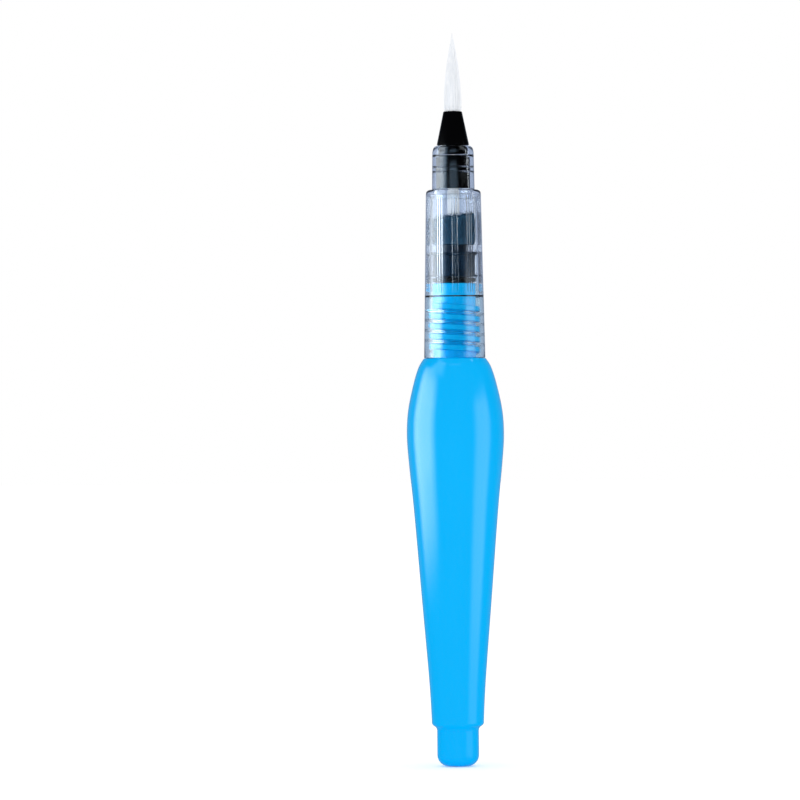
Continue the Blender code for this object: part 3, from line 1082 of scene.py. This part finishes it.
class BRUSHPEN_OT_stage(bpy.types.Operator):
    """The white floor, the studio's light and the camera."""

    bl_idname = "brushpen.stage"
    bl_label = "Stage"
    bl_options = {"REGISTER", "UNDO"}

    low_tint = (0.88, 0.95, 1.0, 1)
    high_tint = (0.5, 0.74, 1.0, 1)
    inside_light = 1.35
    floor_size = 3  # half the floor's side, in metres
    floor_drop = 0.05
    floor_glow = 0.22
    # How far behind the pen the backdrop starts and is full, as a direction's share of +Y
    mirrored_backdrop = (0.45, 0.95)
    clear_backdrop = (0.0, 0.6)
    mirrored_most = 0.5  # share of the backdrop that gloss mirrors at most
    panel_flat = 0.35  # share of a panel's width that is evenly bright
    camera_x = -10.9
    camera_z = 72.45
    # name, tint, share of the key or the fill, azimuth, distance, width, heights
    left_panels = (
        ("left_low_panel", low_tint, 1.0, 83, 120, 190, (12, 44, 108, 165)),
        ("left_high_panel", high_tint, 0.42, 58, 32, 36, (91, 96, 122, 130)),
    )
    right_panels = (
        ("right_low_panel", low_tint, 1.0, -66, 90, 94, (-40, 40, 96, 112)),
        ("front_high_panel", high_tint, 1.0, 0, 32, 36, (115, 117, 121.5, 123)),
        ("edge_high_panel", low_tint, 3.5, -84, 32, 5, (115, 117, 126, 132)),
    )

    def build_floor(self):
        shape = bmesh.new()
        bmesh.ops.create_grid(shape, x_segments=1, y_segments=1, size=self.floor_size)
        mesh = bpy.data.meshes.new("studio_floor")
        shape.to_mesh(mesh)
        shape.free()
        made, tree, shader = finish_nodes("white_floor")
        shader.inputs["Base Color"].default_value = (0.9, 0.9, 0.9, 1)
        shader.inputs["Roughness"].default_value = 0.9
        shader.inputs["Specular IOR Level"].default_value = 0.0
        shader.inputs["Emission Color"].default_value = (1, 1, 1, 1)
        shader.inputs["Emission Strength"].default_value = self.floor_glow
        mesh.materials.append(made)
        floor = bpy.data.objects.new("studio_floor", mesh)
        floor.location = (0, 0, -self.floor_drop * MM)
        floor.visible_glossy = False
        floor.visible_transmission = False
        bpy.context.scene.collection.objects.link(floor)

    def build_world(self, scene, settings):
        """White all round to matt surfaces, with a grey-blue backdrop to gloss and clear plastic.

        What gloss mirrors is dark unless it lies behind the pen. The pieces inside the clear plastic
        get more light, for what the plastic keeps from them.
        """
        world = bpy.data.worlds.new("white_studio")
        scene.world = world
        world.use_nodes = True
        world.cycles.sampling_method = "NONE"
        tree = world.node_tree
        path = add_node(tree, "ShaderNodeLightPath", {})
        place = add_node(tree, "ShaderNodeTexCoord", {})
        axes = add_node(tree, "ShaderNodeSeparateXYZ", {"Vector": place.outputs["Generated"]})
        back = axes.outputs["Y"]
        narrow = remap(tree, back, 0.0, self.mirrored_most, *self.mirrored_backdrop)
        wide = remap(tree, back, 0.0, 1.0, *self.clear_backdrop)
        behind = self.blended(tree, path.outputs["Is Transmission Ray"], narrow, wide)
        mirrored = self.reckoned(tree, "GREATER_THAN", path.outputs["Glossy Depth"], 0.5)
        before = self.reckoned(tree, "SUBTRACT", 1.0, behind)
        dimmed = self.reckoned(tree, "MULTIPLY", mirrored, before)
        lit = self.reckoned(tree, "GREATER_THAN", path.outputs["Diffuse Depth"], 0.5)
        seen = self.blended(tree, dimmed, (*settings.backdrop, 1), (0, 0, 0, 1))
        inside = self.blended(tree, lit, seen, (*[self.inside_light] * 3, 1))
        colour = self.blended(tree, path.outputs["Is Glossy Ray"], (1, 1, 1, 1), inside)
        tree.links.new(colour, tree.nodes["Background"].inputs["Color"])

    def reckoned(self, tree, operation, first, second):
        """The result of one step of arithmetic on two values or sockets."""
        return add_node(tree, "ShaderNodeMath", {0: first, 1: second}, operation=operation).outputs[0]

    def blended(self, tree, factor, under, over):
        """Runs from one colour to another with the factor, each a value or a socket."""
        made = add_node(tree, "ShaderNodeMixRGB", {"Fac": factor, "Color1": under, "Color2": over})
        return made.outputs["Color"]

    def add_panel(self, name, brightness, tint, azimuth, distance, width, heights):
        """A soft panel that shows only in gloss, fading out at its sides and at its foot and head.

        Azimuth is from the front round to the left, in degrees. The four heights are where the
        panel starts, is full, starts to fade and ends, in millimetres.
        """
        foot, full, fading, head = heights
        shape = bmesh.new()
        bmesh.ops.create_grid(shape, x_segments=1, y_segments=1, size=0.5)
        mesh = bpy.data.meshes.new(name)
        bmesh.ops.scale(shape, vec=(width * MM, (head - foot) * MM, 1), verts=shape.verts)
        shape.to_mesh(mesh)
        shape.free()
        made = bpy.data.materials.new(name)
        made.use_nodes = True
        tree = made.node_tree
        tree.nodes.clear()
        place = add_node(tree, "ShaderNodeTexCoord", {})
        axes = add_node(tree, "ShaderNodeSeparateXYZ", {"Vector": place.outputs["Object"]})
        middle = (foot + head) / 2
        half = width / 2
        fades = (
            ("X", -half, -half * self.panel_flat),
            ("X", half, half * self.panel_flat),
            ("Y", foot - middle, full - middle),
            ("Y", head - middle, fading - middle),
        )
        strength = brightness
        for axis, dark, lit in fades:
            ramp = add_node(
                tree,
                "ShaderNodeMapRange",
                {"Value": axes.outputs[axis], "From Min": dark * MM, "From Max": lit * MM},
                interpolation_type="SMOOTHSTEP",
            )
            strength = self.reckoned(tree, "MULTIPLY", strength, ramp.outputs["Result"])
        glow = add_node(tree, "ShaderNodeEmission", {"Color": tint, "Strength": strength})
        clear = add_node(tree, "ShaderNodeBsdfTransparent", {})
        both = add_node(tree, "ShaderNodeAddShader", {0: glow.outputs[0], 1: clear.outputs[0]})
        add_node(tree, "ShaderNodeOutputMaterial", {"Surface": both.outputs[0]})
        mesh.materials.append(made)
        turn = math.radians(azimuth)
        out = Vector((-math.sin(turn), -math.cos(turn), 0))
        panel = bpy.data.objects.new(name, mesh)
        panel.location = out * distance * MM + Vector((0, 0, middle * MM))
        panel.rotation_mode = "QUATERNION"
        panel.rotation_quaternion = out.to_track_quat("Z", "Y")
        panel.visible_camera = False
        panel.visible_diffuse = False
        panel.visible_shadow = False
        bpy.context.scene.collection.objects.link(panel)

    def build_camera(self, scene, settings):
        camera = bpy.data.cameras.new("camera")
        camera.lens = settings.lens
        camera.sensor_width = 36
        camera.clip_start = 0.01
        camera.clip_end = 20
        made = bpy.data.objects.new("camera", camera)
        distance = settings.field * settings.lens / camera.sensor_width
        place = Vector((self.camera_x * MM, -distance, self.camera_z * MM))
        facing = Vector((0, 1, 0)).to_track_quat("-Z", "Y").to_matrix().to_4x4()
        made.matrix_world = Matrix.Translation(place) @ facing @ Matrix.Rotation(settings.roll, 4, "Z")
        scene.collection.objects.link(made)
        scene.camera = made

    def execute(self, context):
        scene = context.scene
        settings = scene.pen_stage
        scene.view_settings.view_transform = "Standard"
        self.build_floor()
        self.build_world(scene, settings)
        for name, tint, share, *place in self.left_panels:
            self.add_panel(name, settings.key * share, tint, *place)
        for name, tint, share, *place in self.right_panels:
            self.add_panel(name, settings.fill * share, tint, *place)
        self.build_camera(scene, settings)
        return {"FINISHED"}


class BRUSHPEN_PT_build(bpy.types.Panel):
    """The pen's building steps, in the sidebar."""

    bl_idname = "BRUSHPEN_PT_build"
    bl_label = "Water Brush Pen"
    bl_space_type = "VIEW_3D"
    bl_region_type = "UI"
    bl_category = "Brush Pen"

    def draw(self, context):
        for group in SETTINGS:
            box = self.layout.box()
            settings = getattr(context.scene, group)
            for name in SETTINGS[group].__annotations__:
                box.prop(settings, name)
        for step in STEPS:
            self.layout.operator(step.bl_idname)


SETTINGS = {
    "pen_barrel": BarrelSettings,
    "pen_holder": HolderSettings,
    "pen_brush": BrushSettings,
    "pen_feed": FeedSettings,
    "pen_stage": StageSettings,
}
STEPS = (
    BRUSHPEN_OT_barrel,
    BRUSHPEN_OT_holder,
    BRUSHPEN_OT_ferrule,
    BRUSHPEN_OT_bristles,
    BRUSHPEN_OT_feed,
    BRUSHPEN_OT_stage,
)


def register():
    for name, group in SETTINGS.items():
        bpy.utils.register_class(group)
        setattr(bpy.types.Scene, name, bpy.props.PointerProperty(type=group))
    for step in STEPS:
        bpy.utils.register_class(step)
    bpy.utils.register_class(BRUSHPEN_PT_build)


def unregister():
    bpy.utils.unregister_class(BRUSHPEN_PT_build)
    for step in reversed(STEPS):
        bpy.utils.unregister_class(step)
    for name, group in SETTINGS.items():
        delattr(bpy.types.Scene, name)
        bpy.utils.unregister_class(group)


def main():
    register()
    bpy.ops.brushpen.barrel()
    bpy.ops.brushpen.holder()
    bpy.ops.brushpen.ferrule()
    bpy.ops.brushpen.bristles()
    bpy.ops.brushpen.feed()
    bpy.ops.brushpen.stage()


if __name__ == "__main__":
    main()
